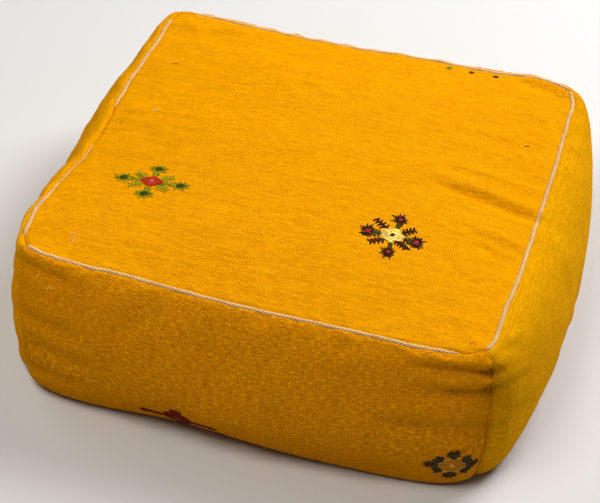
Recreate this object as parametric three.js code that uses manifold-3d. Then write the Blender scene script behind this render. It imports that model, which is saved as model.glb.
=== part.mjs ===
// A square floor cushion, as it comes apart on a bench: a flat-woven wool cover with a twisted
// cord round its top seam, a cotton base that closes with a zip, a calico liner, fibre wadding
// and a foam slab. Millimetres, +Z up, origin at the middle of the base, front towards -Y.
import * as THREE from "three";
import { mergeVertices } from "three/addons/utils/BufferGeometryUtils.js";
import Module from "manifold-3d";

const wasm = await Module();
wasm.setup();

// ---- Driving dimensions: the cushion's outer form ----
const SEAM_HALF = 260; // half the side of the square that the top seam draws
const SEAM_HEIGHT = 185; // the top seam's height at its corners
const SEAM_DIP = 9; // how much lower the seam runs between two corners
const CROWN = 20; // rise of the top's middle over the lowest part of the seam
const BASE_HALF = 282; // half the side of the flat base
const WIDEST_HEIGHT = 56; // height at which the sides stand out furthest
const BULGE = { middle: 60, corner: 14 }; // how far they stand out past the seam there
const UPPER_FULLNESS = { middle: 2.3, corner: 3.7 }; // superellipse power above the widest height
const LOWER_FULLNESS = { middle: 1.6, corner: 2.2 }; // and below it
const CORNER_SHARPNESS = { seam: 20, widest: 18, base: 5.2 }; // superellipse power of the plan

// ---- Thicknesses and fits ----
const WOOL = 2.4; // flat-woven cover cloth
const CANVAS = 1; // cotton base cloth
const CALICO = 0.7; // liner cloth
const LINER_DEPTH = 3.5; // the liner's outer face, inside the cover's
const WADDING_DEPTH = 5; // the wadding's outer face, inside the cover's
const FIT = 0.2; // half the gap between two pieces that meet
const CORD_RADIUS = 2.6;
const CORD_SLOT = 2.4; // from the seam line to the edge of the cloth on either side of the cord
const CORD_RISE = 1.7; // the cord's axis over the seam line
const CORNER_END = 0.9985; // share of a side at which its pieces stop, short of the corner

// ---- Foam slab ----
const SLAB = { half: 250, corner: 60, bottom: 46, top: 126, edge: 4 };

// ---- Zip, a closed coil zip along X in the middle of the base ----
const ZIP_HEIGHT = 5.6; // the chain's middle over the floor
const CHAIN_HALF = 200; // half the chain's length
const COIL = { inner: 0.7, outer: 3, half: 1.1 }; // one row of the chain, across and up
const TAPE = { inner: 3.3, outer: 16, thickness: 0.6, half: 208 };
const STOP = { length: 3.5, inner: 0.6, half: 1.3 };
const PLATE = { half: 5.5, width: 4.6, thickness: 0.9, clearance: 0.35 };
const FLANGE = { inner: 3.5, slot: 0.7 }; // the slider's side lips leave a slot for the tape
const POST = { front: 5, back: 2.6, half: 0.4 }; // the slider's wedge, between the two coils
const BRIDGE = { half: 3.6, wall: 0.9, opening: 1.9, width: 1.6 };
const PULL = { bar: 1.1, thickness: 1.2, window: 4.8, windowHalf: 1.2, end: 24, width: 3.6, neck: 2.6 };
const SLIDER_X = 193; // where the slider rests with the zip closed

// ---- The groove in the base that keeps the zip off the floor ----
const LIP = 5.4; // from the zip's middle to the folded edge of the base cloth
const LIP_END = 206; // the edges start to close here, and meet at LIP_CLOSED
const LIP_CLOSED = 216;
const GROOVE_FULL_X = 218; // the groove is at its full height up to here, and gone at GROOVE_END_X
const GROOVE_END_X = 246;
const CANVAS_GROOVE = { rise: 3.9, flat: 7, gone: 20 };
const LINER_GROOVE = { rise: 5.2, flat: 10, gone: 40 };
const WADDING_GROOVE = { rise: 5.4, flat: 10, gone: 40 };

// Shares of a half side at which every panel is divided, from its middle to its corner, so that
// neighbours have matching edges. Close to the zip the base is divided where the groove changes.
const ALONG_SIDE = [0, 0.3, 0.6, 0.8, 0.9, 0.96, 1];
const ALONG_ZIP = [0, 100, LIP_END, LIP_CLOSED, GROOVE_END_X, 270, BASE_HALF].map((x) => x / BASE_HALF);
const BESIDE_ZIP = [0, 8.5, 16, 24, 40].map((y) => y / BASE_HALF);
const ROWS_UP = 8; // divisions of a side from the base to the seam
const CORD_SIDES = 8;

const { lerp, smoothstep } = THREE.MathUtils;
const mirrored = (shares) => [...shares.slice(1).reverse().map((s) => -s), ...shares];
const SIDE_SHARES = mirrored(ALONG_SIDE);

// ---- Solids ----

// A closed mesh of points and triangles, turned round if its faces point inwards.
function closedGeometry(points, triangles) {
  let volume = 0;
  for (const [a, b, c] of triangles) volume += points[a].dot(points[b].clone().cross(points[c]));
  const order = volume < 0 ? ([a, b, c]) => [a, c, b] : (triangle) => triangle;
  return new THREE.BufferGeometry().setFromPoints(points).setIndex(triangles.flatMap(order));
}

// A sheet between two grids of points, grid[i][j], with a wall round its edge. A ring joins its
// last column to its first. Both faces have their quads cut along the same diagonal.
function sheet(upper, lower, isRing = false) {
  const columns = upper.length;
  const rows = upper[0].length;
  const points = [...upper.flat(), ...lower.flat()];
  const top = (i, j) => (i % columns) * rows + j;
  const under = (i, j) => columns * rows + top(i, j);
  const triangles = [];
  const quad = (a, b, c, d) => triangles.push([a, b, c], [a, c, d]);
  for (let i = 0; i < (isRing ? columns : columns - 1); i++) {
    for (let j = 0; j < rows - 1; j++) {
      quad(top(i, j), top(i + 1, j), top(i + 1, j + 1), top(i, j + 1));
      quad(under(i, j), under(i, j + 1), under(i + 1, j + 1), under(i + 1, j));
    }
    quad(under(i, 0), under(i + 1, 0), top(i + 1, 0), top(i, 0));
    quad(under(i + 1, rows - 1), under(i, rows - 1), top(i, rows - 1), top(i + 1, rows - 1));
  }
  for (let j = 0; j < rows - 1 && !isRing; j++) {
    quad(under(0, j + 1), under(0, j), top(0, j), top(0, j + 1));
    quad(under(columns - 1, j), under(columns - 1, j + 1), top(columns - 1, j + 1), top(columns - 1, j));
  }
  return closedGeometry(points, triangles);
}

// A skin over a row of closed sections. A ring joins its last section to its first; any other
// row is capped at both ends, so its sections have to be convex.
function loft(sections, isRing) {
  const size = sections[0].length;
  const triangles = [];
  const spans = isRing ? sections.length : sections.length - 1;
  for (let i = 0; i < spans; i++) {
    const here = i * size;
    const next = ((i + 1) % sections.length) * size;
    for (let j = 0; j < size; j++) {
      const k = (j + 1) % size;
      triangles.push([here + j, next + j, next + k], [here + j, next + k, here + k]);
    }
  }
  const last = (sections.length - 1) * size;
  for (let j = 1; j < size - 1 && !isRing; j++) {
    triangles.push([0, j, j + 1], [last, last + j + 1, last + j]);
  }
  return closedGeometry(sections.flat(), triangles);
}

function asManifold(geometry) {
  const bare = geometry.clone();
  bare.deleteAttribute("normal");
  bare.deleteAttribute("uv");
  const merged = mergeVertices(bare, 1e-4);
  return new wasm.Manifold(
    new wasm.Mesh({
      numProp: 3,
      vertProperties: merged.attributes.position.array,
      triVerts: new Uint32Array(merged.index.array),
    }),
  );
}

// One solid from several overlapping ones.
function joined(geometries) {
  const mesh = geometries.map(asManifold).reduce((a, b) => a.add(b)).getMesh();
  return new THREE.BufferGeometry()
    .setAttribute("position", new THREE.BufferAttribute(mesh.vertProperties, 3))
    .setIndex(new THREE.BufferAttribute(mesh.triVerts, 1));
}

// A block between two heights, from low to high in x and y.
function block([x0, x1], [y0, y1], [z0, z1]) {
  const box = new THREE.BoxGeometry(x1 - x0, y1 - y0, z1 - z0);
  return box.translate((x0 + x1) / 2, (y0 + y1) / 2, (z0 + z1) / 2);
}

// ---- The cushion's form ----

const seamHeight = (t) => SEAM_HEIGHT - SEAM_DIP * (1 - t * t);

// A square grid of shares, -1 to 1 both ways, laid into a square outline with rounded corners.
function inPlan(half, sharpness, x, y) {
  const reach = Math.max(Math.abs(x), Math.abs(y));
  if (reach === 0) return [0, 0];
  const round = (Math.abs(x) ** sharpness + Math.abs(y) ** sharpness) ** (1 / sharpness);
  const scale = (half * reach) / round;
  return [x * scale, y * scale];
}

// A point of the top, that far under its outer face. The form's share of its own outline is x, y.
function topPoint(half, depth, x, y) {
  const crown = CROWN * (1 - x * x) * (1 - y * y);
  const z = SEAM_HEIGHT - SEAM_DIP * (1 - x * x * y * y) + crown - depth;
  return new THREE.Vector3(...inPlan(half, CORNER_SHARPNESS.seam, x, y), z);
}

// A point of a side wall: t runs along the side from corner to corner, -1 to 1, and v up it from
// the base, 0, over the widest height, 0.5, to the seam, 1. Depth is how far inside the outer
// face it lies, and seamGap how far outside the seam line the wall starts.
function sidePoint({ depth, seamGap }, side, t, v) {
  const middle = 1 - t * t;
  const widest = lerp(BULGE.corner, BULGE.middle, middle) - depth;
  const above = v > 0.5;
  const power = 2 / (above
    ? lerp(UPPER_FULLNESS.corner, UPPER_FULLNESS.middle, middle)
    : lerp(LOWER_FULLNESS.corner, LOWER_FULLNESS.middle, middle));
  const angle = Math.PI * Math.abs(v - 0.5);
  const outward = Math.max(Math.cos(angle), 0) ** power;
  const upward = Math.sin(angle) ** power;
  const edge = above ? seamGap : BASE_HALF - SEAM_HALF + FIT;
  const edgeHeight = above ? seamHeight(t) - depth : depth;
  const half = SEAM_HALF + lerp(edge, widest, outward);
  const z = lerp(WIDEST_HEIGHT, edgeHeight, upward);
  const edgeSharpness = above ? CORNER_SHARPNESS.seam : CORNER_SHARPNESS.base;
  const sharpness = lerp(CORNER_SHARPNESS.widest, edgeSharpness, Math.abs(2 * v - 1));
  const [x, y] = inPlan(half, sharpness, t, -1);
  return new THREE.Vector3(x, y, z).applyAxisAngle(new THREE.Vector3(0, 0, 1), (side * Math.PI) / 2);
}

const heightShares = Array.from({ length: ROWS_UP + 1 }, (_, row) => row / ROWS_UP);

// How much of the groove's height there is at a point of the base.
function grooveShare({ flat, gone }, x, y) {
  const across = 1 - smoothstep(Math.abs(y), flat, gone);
  const along = 1 - smoothstep(Math.abs(x), GROOVE_FULL_X, GROOVE_END_X);
  return across * along;
}

// ---- Cover ----

function topSheet(half, depth, thickness) {
  const grid = (d) => SIDE_SHARES.map((x) => SIDE_SHARES.map((y) => topPoint(half, d, x, y)));
  return sheet(grid(depth), grid(depth + thickness));
}

function sidePanel(side) {
  const grid = (depth) =>
    SIDE_SHARES.map((t) =>
      heightShares.map((v) => sidePoint({ depth, seamGap: CORD_SLOT }, side, t * CORNER_END, v)),
    );
  return sheet(grid(0), grid(WOOL));
}

function cord(side) {
  const centre = (t) => {
    const [x, y] = inPlan(SEAM_HALF, CORNER_SHARPNESS.seam, t, -1);
    return new THREE.Vector3(x, y, seamHeight(t) + CORD_RISE);
  };
  const up = new THREE.Vector3(0, 0, 1);
  const sections = SIDE_SHARES.map((share) => {
    const t = share * CORNER_END;
    const along = centre(t + 0.001).sub(centre(t - 0.001)).setZ(0).normalize();
    const outward = along.clone().cross(up);
    return Array.from({ length: CORD_SIDES }, (_, k) => {
      const angle = (2 * Math.PI * k) / CORD_SIDES;
      return centre(t)
        .addScaledVector(outward, CORD_RADIUS * Math.cos(angle))
        .addScaledVector(up, CORD_RADIUS * Math.sin(angle))
        .applyAxisAngle(up, (side * Math.PI) / 2);
    });
  });
  return loft(sections, false);
}

// A point's share of the base, with columns that stand at the zip's own stations beside it and
// at the sides' stations along the edge.
function baseShare(column, row) {
  const sign = Math.sign(column - ALONG_SIDE.length + 1);
  const index = Math.abs(column - ALONG_SIDE.length + 1);
  return sign * lerp(ALONG_ZIP[index], ALONG_SIDE[index], Math.abs(row));
}

// A sheet over the base between two height functions of x and y.
function baseSheet(rows, place, lower, upper) {
  const grid = (height) =>
    SIDE_SHARES.map((_, column) =>
      rows.map((row) => {
        const [x, y] = place(baseShare(column, row), row);
        return new THREE.Vector3(x, y, height(x, y));
      }),
    );
  return sheet(grid(upper), grid(lower));
}

const inBase = (x, y) => inPlan(BASE_HALF - FIT, CORNER_SHARPNESS.base, x, y);

// Half of the base: front, -1, or back, 1. Its folded edge lies along the zip, and closes beyond it.
function basePanel(direction) {
  const rows = [...BESIDE_ZIP, ...ALONG_SIDE.slice(1)].map((row) => direction * row);
  const place = (shareX, shareY) => {
    const [x, y] = inBase(shareX, shareY);
    const lip = lerp(LIP, FIT, smoothstep(Math.abs(x), LIP_END, LIP_CLOSED));
    return [x, direction * lerp(lip, BASE_HALF - FIT, Math.abs(y) / (BASE_HALF - FIT))];
  };
  const height = (x, y) => CANVAS_GROOVE.rise * grooveShare(CANVAS_GROOVE, x, y);
  return baseSheet(rows, place, height, (x, y) => height(x, y) + CANVAS);
}

const wholeBaseRows = mirrored([...BESIDE_ZIP, ...ALONG_SIDE.slice(1)]);

// ---- Liner and filling ----

function linerBottom() {
  const height = (x, y) => LINER_DEPTH + LINER_GROOVE.rise * grooveShare(LINER_GROOVE, x, y);
  return baseSheet(wholeBaseRows, inBase, height, (x, y) => height(x, y) + CALICO);
}

// One face of a ring round all four sides, that far inside the cover's outer face.
function ringFace(depth) {
  return [0, 1, 2, 3].flatMap((side) =>
    SIDE_SHARES.slice(0, -1).map((t) =>
      heightShares.map((v) => sidePoint({ depth, seamGap: FIT }, side, t, v)),
    ),
  );
}

const linerBand = () => sheet(ringFace(LINER_DEPTH), ringFace(LINER_DEPTH + CALICO), true);

const waddingBand = () => loft(ringFace(WADDING_DEPTH), true);

// The wadding over the slab: crowned above, flat below, and a little smaller at the foot.
function waddingTop() {
  const foot = SLAB.top + 2 * FIT;
  const upper = SIDE_SHARES.map((x) =>
    SIDE_SHARES.map((y) => topPoint(SEAM_HALF - FIT, WADDING_DEPTH, x, y)),
  );
  const lower = SIDE_SHARES.map((x) =>
    SIDE_SHARES.map((y) => new THREE.Vector3(...inPlan(SLAB.half, CORNER_SHARPNESS.base, x, y), foot)),
  );
  return sheet(upper, lower);
}

function waddingBottom() {
  const head = SLAB.bottom - 2 * FIT;
  const grid = (point) =>
    SIDE_SHARES.map((_, column) => wholeBaseRows.map((row) => point(baseShare(column, row), row)));
  const under = (shareX, shareY) => {
    const [x, y] = inBase(shareX, shareY);
    return new THREE.Vector3(x, y, WADDING_DEPTH + WADDING_GROOVE.rise * grooveShare(WADDING_GROOVE, x, y));
  };
  const over = (shareX, shareY) =>
    new THREE.Vector3(...inPlan(SLAB.half, CORNER_SHARPNESS.base, shareX, shareY), head);
  return sheet(grid(over), grid(under));
}

function foamSlab() {
  const { half, corner, edge } = SLAB;
  const flat = half - edge;
  const outline = new THREE.Shape();
  [[1, 1], [-1, 1], [-1, -1], [1, -1]].forEach(([x, y], quarter) => {
    const start = (quarter * Math.PI) / 2;
    outline.absarc(x * (flat - corner), y * (flat - corner), corner, start, start + Math.PI / 2);
  });
  const slab = new THREE.ExtrudeGeometry(outline, {
    depth: SLAB.top - SLAB.bottom - 2 * edge,
    bevelThickness: edge,
    bevelSize: edge,
    bevelSegments: 1,
    curveSegments: 5,
  });
  return slab.translate(0, 0, SLAB.bottom + edge);
}

// ---- Zip ----

function zipTape(direction) {
  const z = [ZIP_HEIGHT - TAPE.thickness / 2, ZIP_HEIGHT + TAPE.thickness / 2];
  const y = [direction * TAPE.inner, direction * TAPE.outer].sort((a, b) => a - b);
  return block([-TAPE.half, TAPE.half], y, z);
}

// One row of the chain: a rounded bar that stands for the coil's wound thread.
function zipCoil(direction) {
  const middle = (direction * (COIL.inner + COIL.outer)) / 2;
  const section = (x) =>
    Array.from({ length: 10 }, (_, k) => {
      const angle = (2 * Math.PI * k) / 10;
      const y = middle + ((COIL.outer - COIL.inner) / 2) * Math.cos(angle);
      return new THREE.Vector3(x, y, ZIP_HEIGHT + COIL.half * Math.sin(angle));
    });
  return loft([section(-CHAIN_HALF + FIT), section(CHAIN_HALF - FIT)], false);
}

const stopHeights = [ZIP_HEIGHT - STOP.half, ZIP_HEIGHT + STOP.half];

function topStop(direction) {
  const y = [direction * STOP.inner, direction * COIL.outer].sort((a, b) => a - b);
  return block([CHAIN_HALF, CHAIN_HALF + STOP.length], y, stopHeights);
}

const bottomStop = () =>
  block([-CHAIN_HALF - STOP.length, -CHAIN_HALF], [-COIL.outer, COIL.outer], stopHeights);

const plateGap = COIL.half + PLATE.clearance; // from the chain's middle to a plate of the slider
const plateFace = plateGap + PLATE.thickness; // and to the plate's outer face
const pivotHeight = ZIP_HEIGHT - plateFace - BRIDGE.opening / 2;

// The slider, about its own middle and the chain's: two plates, a wedge, lips and a bridge.
function zipSlider() {
  const { half, width } = PLATE;
  const outline = new THREE.Shape();
  outline.moveTo(-half, -width + 1);
  outline.quadraticCurveTo(-half, -width, -half + 1.5, -width);
  outline.lineTo(half - 2.5, -width);
  outline.quadraticCurveTo(half, -width, half, -1.5);
  outline.lineTo(half, 1.5);
  outline.quadraticCurveTo(half, width, half - 2.5, width);
  outline.lineTo(-half + 1.5, width);
  outline.quadraticCurveTo(-half, width, -half, width - 1);
  const plate = (bottom) =>
    new THREE.ExtrudeGeometry(outline, { depth: PLATE.thickness, bevelEnabled: false, curveSegments: 3 })
      .translate(0, 0, bottom);
  const pieces = [plate(plateGap), plate(-plateFace)];
  pieces.push(block([POST.back, POST.front], [-POST.half, POST.half], [-plateGap - 0.2, plateGap + 0.2]));
  for (const side of [-1, 1]) {
    const y = [side * FLANGE.inner, side * (width - 0.1)].sort((a, b) => a - b);
    pieces.push(block([-half + 2, half - 3], y, [FLANGE.slot, plateGap + 0.2]));
    pieces.push(block([-half + 2, half - 3], y, [-plateGap - 0.2, -FLANGE.slot]));
  }
  pieces.push(bridge());
  return joined(pieces);
}

// The staple on the slider's outer plate that holds the pull.
function bridge() {
  const { half: reach, wall, opening, width } = BRIDGE;
  const arch = new THREE.Shape();
  arch.moveTo(-reach, 0.3);
  arch.lineTo(-reach, -opening);
  arch.quadraticCurveTo(-reach + 0.2, -opening - wall, -reach + 1.2, -opening - wall);
  arch.lineTo(reach - 1.2, -opening - wall);
  arch.quadraticCurveTo(reach - 0.2, -opening - wall, reach, -opening);
  arch.lineTo(reach, 0.3);
  arch.lineTo(reach - wall, 0.3);
  arch.lineTo(reach - wall, -opening);
  arch.lineTo(-reach + wall, -opening);
  arch.lineTo(-reach + wall, 0.3);
  return new THREE.ExtrudeGeometry(arch, { depth: width, bevelEnabled: false, curveSegments: 3 })
    .rotateX(Math.PI / 2)
    .translate(0, width / 2, -plateFace);
}

// The pull, lying towards -X from its bar, which sits under the slider's bridge at the origin.
function zipPull() {
  const { bar, window, windowHalf, end, width, neck, thickness } = PULL;
  const outline = new THREE.Shape();
  outline.moveTo(bar / 2, -neck);
  outline.lineTo(bar / 2, neck);
  outline.lineTo(-window, neck);
  outline.quadraticCurveTo(-window - 4, neck, -end + 6, width);
  outline.absarc(-end + width, 0, width, Math.PI / 2, (3 * Math.PI) / 2);
  outline.quadraticCurveTo(-window - 4, -neck, -window, -neck);
  const opening = new THREE.Path();
  opening.moveTo(-bar / 2, -windowHalf);
  opening.lineTo(-window, -windowHalf);
  opening.lineTo(-window, windowHalf);
  opening.lineTo(-bar / 2, windowHalf);
  const hole = new THREE.Path().absarc(-end + width, 0, 1.4, 0, 2 * Math.PI, true);
  outline.holes.push(opening, hole);
  const options = { depth: thickness, bevelEnabled: false, curveSegments: 8 };
  return new THREE.ExtrudeGeometry(outline, options).translate(0, 0, -thickness / 2);
}

// ---- Assembly ----

const cloth = (color, roughness) => ({ color, roughness, metalness: 0 });
const FINISH = {
  wool: cloth("#e0930a", 0.95),
  cord: cloth("#d8c9ae", 0.9),
  canvas: cloth("#d9b25c", 0.9),
  tape: cloth("#c9983a", 0.85),
  coil: { color: "#b98a35", roughness: 0.45, metalness: 0 },
  metal: { color: "#b9a071", roughness: 0.35, metalness: 1 },
  calico: cloth("#e9e2cf", 0.9),
  fibre: cloth("#f4f3ee", 1),
  foam: cloth("#efe6b4", 0.95),
};

function piece(name, geometry, finish, group) {
  const mesh = new THREE.Mesh(geometry, new THREE.MeshStandardMaterial(FINISH[finish]));
  mesh.name = name;
  group.add(mesh);
  return mesh;
}

const cushion = new THREE.Group();

piece("top_panel", topSheet(SEAM_HALF - CORD_SLOT, 0, WOOL), "wool", cushion);
["front", "right", "back", "left"].forEach((name, side) => {
  piece(`${name}_panel`, sidePanel(side), "wool", cushion);
  piece(`piping_${name}`, cord(side), "cord", cushion);
});
piece("liner_top", topSheet(SEAM_HALF - FIT, LINER_DEPTH, CALICO), "calico", cushion);
piece("liner_bottom", linerBottom(), "calico", cushion);
piece("liner_band", linerBand(), "calico", cushion);
piece("wadding_top", waddingTop(), "fibre", cushion);
piece("wadding_bottom", waddingBottom(), "fibre", cushion);
piece("wadding_band", waddingBand(), "fibre", cushion);
piece("foam_slab", foamSlab(), "foam", cushion);
[["front", -1], ["back", 1]].forEach(([name, direction]) => {
  piece(`base_panel_${name}`, basePanel(direction), "canvas", cushion);
  piece(`zip_tape_${name}`, zipTape(direction), "tape", cushion);
  piece(`zip_coil_${name}`, zipCoil(direction), "coil", cushion);
  piece(`zip_top_stop_${name}`, topStop(direction), "metal", cushion);
});
piece("zip_bottom_stop", bottomStop(), "metal", cushion);

const slider = new THREE.Group();
slider.position.set(SLIDER_X, 0, 0);
cushion.add(slider);
piece("zip_slider", zipSlider(), "metal", slider).position.z = ZIP_HEIGHT;
piece("zip_pull", zipPull(), "metal", slider).position.z = pivotHeight;

export default cushion;
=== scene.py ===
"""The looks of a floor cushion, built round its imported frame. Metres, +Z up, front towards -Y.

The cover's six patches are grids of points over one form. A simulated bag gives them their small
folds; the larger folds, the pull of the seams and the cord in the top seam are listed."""
import math

import bpy
import numpy as np
from mathutils import Matrix, Vector


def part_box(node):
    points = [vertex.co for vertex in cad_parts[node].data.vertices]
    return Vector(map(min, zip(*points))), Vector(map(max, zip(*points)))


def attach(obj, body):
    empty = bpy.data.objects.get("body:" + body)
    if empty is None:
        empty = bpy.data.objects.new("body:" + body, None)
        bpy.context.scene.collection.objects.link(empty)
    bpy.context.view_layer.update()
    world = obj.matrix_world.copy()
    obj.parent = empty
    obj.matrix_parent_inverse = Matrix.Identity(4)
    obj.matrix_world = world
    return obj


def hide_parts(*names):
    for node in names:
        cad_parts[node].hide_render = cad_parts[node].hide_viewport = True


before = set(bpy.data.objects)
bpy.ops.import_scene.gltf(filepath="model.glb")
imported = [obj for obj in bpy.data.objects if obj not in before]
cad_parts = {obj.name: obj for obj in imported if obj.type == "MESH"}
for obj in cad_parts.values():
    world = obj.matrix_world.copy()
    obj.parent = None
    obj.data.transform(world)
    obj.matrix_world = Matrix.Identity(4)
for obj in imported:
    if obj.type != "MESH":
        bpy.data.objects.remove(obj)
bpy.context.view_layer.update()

MM = 0.001

# ---- The form, as the frame has it ----
SEAM_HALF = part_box("top_panel")[1].x + 2.4 * MM  # half the square that the top seam draws
SEAM_HEIGHT = 185 * MM  # the top seam at its corners
SEAM_DIP = 9 * MM  # how much lower it runs between them
CROWN = 20 * MM  # rise of the top's middle over the lowest part of the seam
BASE_HALF = 282 * MM
WIDEST_HEIGHT = 56 * MM
# Superellipse power of each side's upper half at its middle, and how late along it that is reached.
UPPER_FULLNESS = {
    "front": (1.55, 0.7),
    "right": (2.1, 1),
    "back": (1.35, 0.4),
    "left": (1.7, 0.6),
}
BULGE = {"middle": 60 * MM, "corner": 14 * MM}  # how far the sides stand out past the seam
SHARPNESS = {"seam": 20, "widest": 18, "base": 5.2}  # superellipse powers of the plan
SIDES = ("front", "right", "back", "left")

# ---- Divisions ----
BAG_CELLS, BAG_ROWS = 40, 16  # cells along and up a side of the simulated bag
FINER = 4  # finished cells in each simulated one
FOLD_SHARE = 0.4  # how much of the simulated folds the cover takes
FOLD_LIMIT = 3 * MM  # where a simulated fold stops counting for more
UNEVEN = 0.28 * MM  # how much the hand-spun cloth is thicker in some places than in others
BAG_FRAMES = 20
BAG_CLOTH = {
    "quality": 8,
    "mass": 0.25,
    "tension_stiffness": 20,
    "compression_stiffness": 20,
    "shear_stiffness": 8,
    "bending_stiffness": 0.3,
    "use_pressure": True,
    "uniform_pressure_force": 4,
    "vertex_group_shrink": "drawn",
    "shrink_max": 0.07,
}

# ---- Cloth, cord and stitches ----
WOOL = 2.2 * MM
CANVAS = 1 * MM
CALICO = 0.7 * MM
EDGE_GAP = 0.1 * MM  # from a seam line to the cloth's own edge
STRAND = 1.1 * MM  # radius of one of the cord's three strands
CORD_TWIST = 12 * MM  # length of one full turn of the cord
CORD_RISE = 0.9 * MM  # the cord's axis over the cloth's face at the seam
CORD_SUNK = -2.6 * MM  # the same where the cloth closes over it
STRAND_SIDES = 8
RIB = 2.45 * MM  # from one rib of the wool's weave to the next
# How deep the seams lie.
GROOVE = {"top": 1.8 * MM, "side": 2.6 * MM, "corner": 1.0 * MM, "base": 0.8 * MM}
GROOVE_WIDTH = 3.2 * MM
LINER_DEPTH = 6.5 * MM  # from the cover's face to the liner's
WADDING_DEPTH = 1.4 * MM  # from the liner's face to the wadding's

# ---- Base, zip and foam ----
ZIP_HEIGHT = 5.6 * MM
CHAIN_HALF = 199.8 * MM
COIL_PITCH = 2.0 * MM
COIL_THREAD = 0.34 * MM
LIP = 5.4 * MM  # from the zip's middle to the folded edge of the base cloth
LIP_GAP = 0.2 * MM  # the same past the zip's ends, and what the cloth's rim is drawn back
RECESS = 3.9 * MM  # how far the cloth beside the zip is held up off the floor
STITCH_ROWS = (-13.5 * MM, -8.2 * MM, 8.2 * MM, 13.5 * MM)
SLAB = {"half": 250 * MM, "bottom": 46 * MM, "top": 126 * MM, "edge": 6 * MM}

# ---- Camera and light ----
CAMERA_TURNS = (14.55, 39.72, 2.74)  # azimuth, elevation and roll in degrees
CAMERA_PLACE = (0.3767, -1.513, 1.3418)
LENS = 100.6
SURROUND = 0.07  # strength of the even light from all round
FLOOR_HALF = 6
# Each light's place, size, power and colour; all of them face the cushion.
LIGHTS = {
    "key": ((1.2, 1.6, 2.0), 1.4, 84, (1, 1, 1)),
    "front_fill": ((-0.6, -1.1, 2.6), 1.2, 43.5, (1, 0.94, 0.85)),
    "left_fill": ((-1.8, 0.6, 2.0), 1.4, 10, (1, 1, 1)),
}

# How each panel's colour is set, from brown orange, 0, to lemon, 1: painted light and shade, brown
# orange for the front that lies in shade and lemon for the right that the key light falls on.
PANEL_LIGHT_TONE = {"top": 0.43, "front": 0.0, "right": 0.95, "back": 0.35, "left": 0.6}

# Where the cover is pulled out of its regular form: point, reach and pull, in millimetres.
PULLS = [
    ((-145, -262, 178), 85, (0, 5.5, 0)),
    ((185, -262, 180), 60, (0, -5, 0)),
    ((262, -200, 183), 55, (-4.5, 0, 0)),
    ((262, 120, 182), 140, (3.5, 0, 0)),
    ((262, 262, 185), 42, (2, -9, -2)),
    ((60, 262, 177), 60, (0, 5, 0)),
    ((-262, 250, 183), 40, (-4, 0, 0)),
    ((-262, 90, 180), 110, (-7, 0, 0)),
    ((-262, -180, 177), 88, (-22, 0, 0)),
    ((-262, -258, 183), 45, (2, 2, 0)),
    ((-312, -150, 120), 140, (10, 0, 0)),
    ((-290, -225, 150), 75, (9, 0, 0)),
    ((-285, -180, 165), 45, (7, 0, 0)),
    ((-283, -262, 112), 80, (-6, 0, 0)),
    ((-300, 10, 120), 70, (-5, 0, 0)),
    ((-285, -255, 35), 45, (5, 0, 0)),
    ((-262, -290, 30), 90, (-2, -4, 0)),
    ((-300, -262, 75), 130, (4, 0, 0)),
    ((-75, -312, 40), 120, (0, 4, 1)),
    ((150, -310, 25), 110, (0, 4, 1)),
]
TUCK = 11 * MM  # how far the middle of the front's foot is drawn in under the cushion

# Folds of the cloth: from, to, depth (a ridge if negative) and half width, in millimetres.
FOLDS = [
    ((146, -4, 190), (262, -16, 177), 5.4, 6.8),
    ((140, 29, 189), (262, 22, 177), 3.4, 6.5),
    ((158, 104, 187), (254, 107, 178), 1.8, 8),
    ((219, 166, 182), (255, 155, 180), 1.0, 7),
    ((192, 243, 181), (256, 226, 182), 3.0, 9),
    ((195, -73, 184), (256, -83, 178), 2.4, 6),
    ((205, -92, 183), (254, -102, 178), 2.2, 6),
    ((182, -212, 182), (246, -216, 182), -1.4, 8),
    ((-44, 55, 195), (120, 54, 191), 0.6, 10),
    ((-258, 25, 177), (-140, 20, 191), 2.0, 7),
    ((-258, 207, 182), (-155, 229, 181), 2.6, 8),
    ((-258, -267, 173), (-198, -280, 169), 5.5, 8),
    ((100, -281, 172), (165, -275, 177), 1.0, 7),
    ((200, -275, 176), (252, -266, 174), 2.5, 9),
    ((190, -283, 168), (268, -265, 165), 7.6, 5),
    ((215, -287, 147), (272, -264, 145), 6.0, 5),
    ((180, -297, 141), (240, -285, 140), 3.0, 8),
    ((160, -305, 98), (260, -272, 101), 5.5, 8.5),
    ((167, -287, 166), (175, -299, 134), -1.1, 6),
    ((-260, -278, 113), (-185, -299, 114), 3.0, 9),
    ((-255, -280, 40), (-178, -304, 46), 3.0, 9),
    ((-260, -278, 76), (-170, -308, 80), 3.2, 10),
    ((264, -266, 146), (298, -209, 129), 1.8, 4.5),
    ((263, -249, 183), (284, -213, 166), 1.5, 6),
    ((264, -270, 101), (304, -190, 74), 2.6, 7),
    ((268, -262, 48), (296, -222, 50), 1.2, 8),
    ((290, 60, 150), (280, 130, 170), 0.9, 9),
    ((262, 262, 170), (190, 280, 176), 3.2, 9),
    ((262, 262, 120), (200, 296, 118), 2.0, 11),
    ((-262, 262, 172), (-200, 276, 178), 3.0, 8),
    ((-262, 262, 100), (-190, 300, 96), 1.8, 11),
    ((-262, 262, 150), (-284, 200, 158), 2.6, 9),
    ((-262, -262, 165), (-282, -205, 172), 2.8, 8),
    ((-262, -262, 96), (-300, -190, 90), 1.8, 11),
]


# ---------------------------------------------------------------- the form

def lerp(a, b, share):
    return a + (b - a) * share


def smooth(x, low, high):
    share = np.clip((x - low) / (high - low), 0, 1)
    return share * share * (3 - 2 * share)


def unit(vectors):
    return vectors / np.maximum(np.linalg.norm(vectors, axis=-1, keepdims=True), 1e-12)


def lengths_along(path):
    """How far along a path each of its points is."""
    return np.concatenate([[0], np.cumsum(np.linalg.norm(np.diff(path, axis=0), axis=1))])


def crossed(a, b):
    return np.meshgrid(a, b, indexing="ij")


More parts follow.
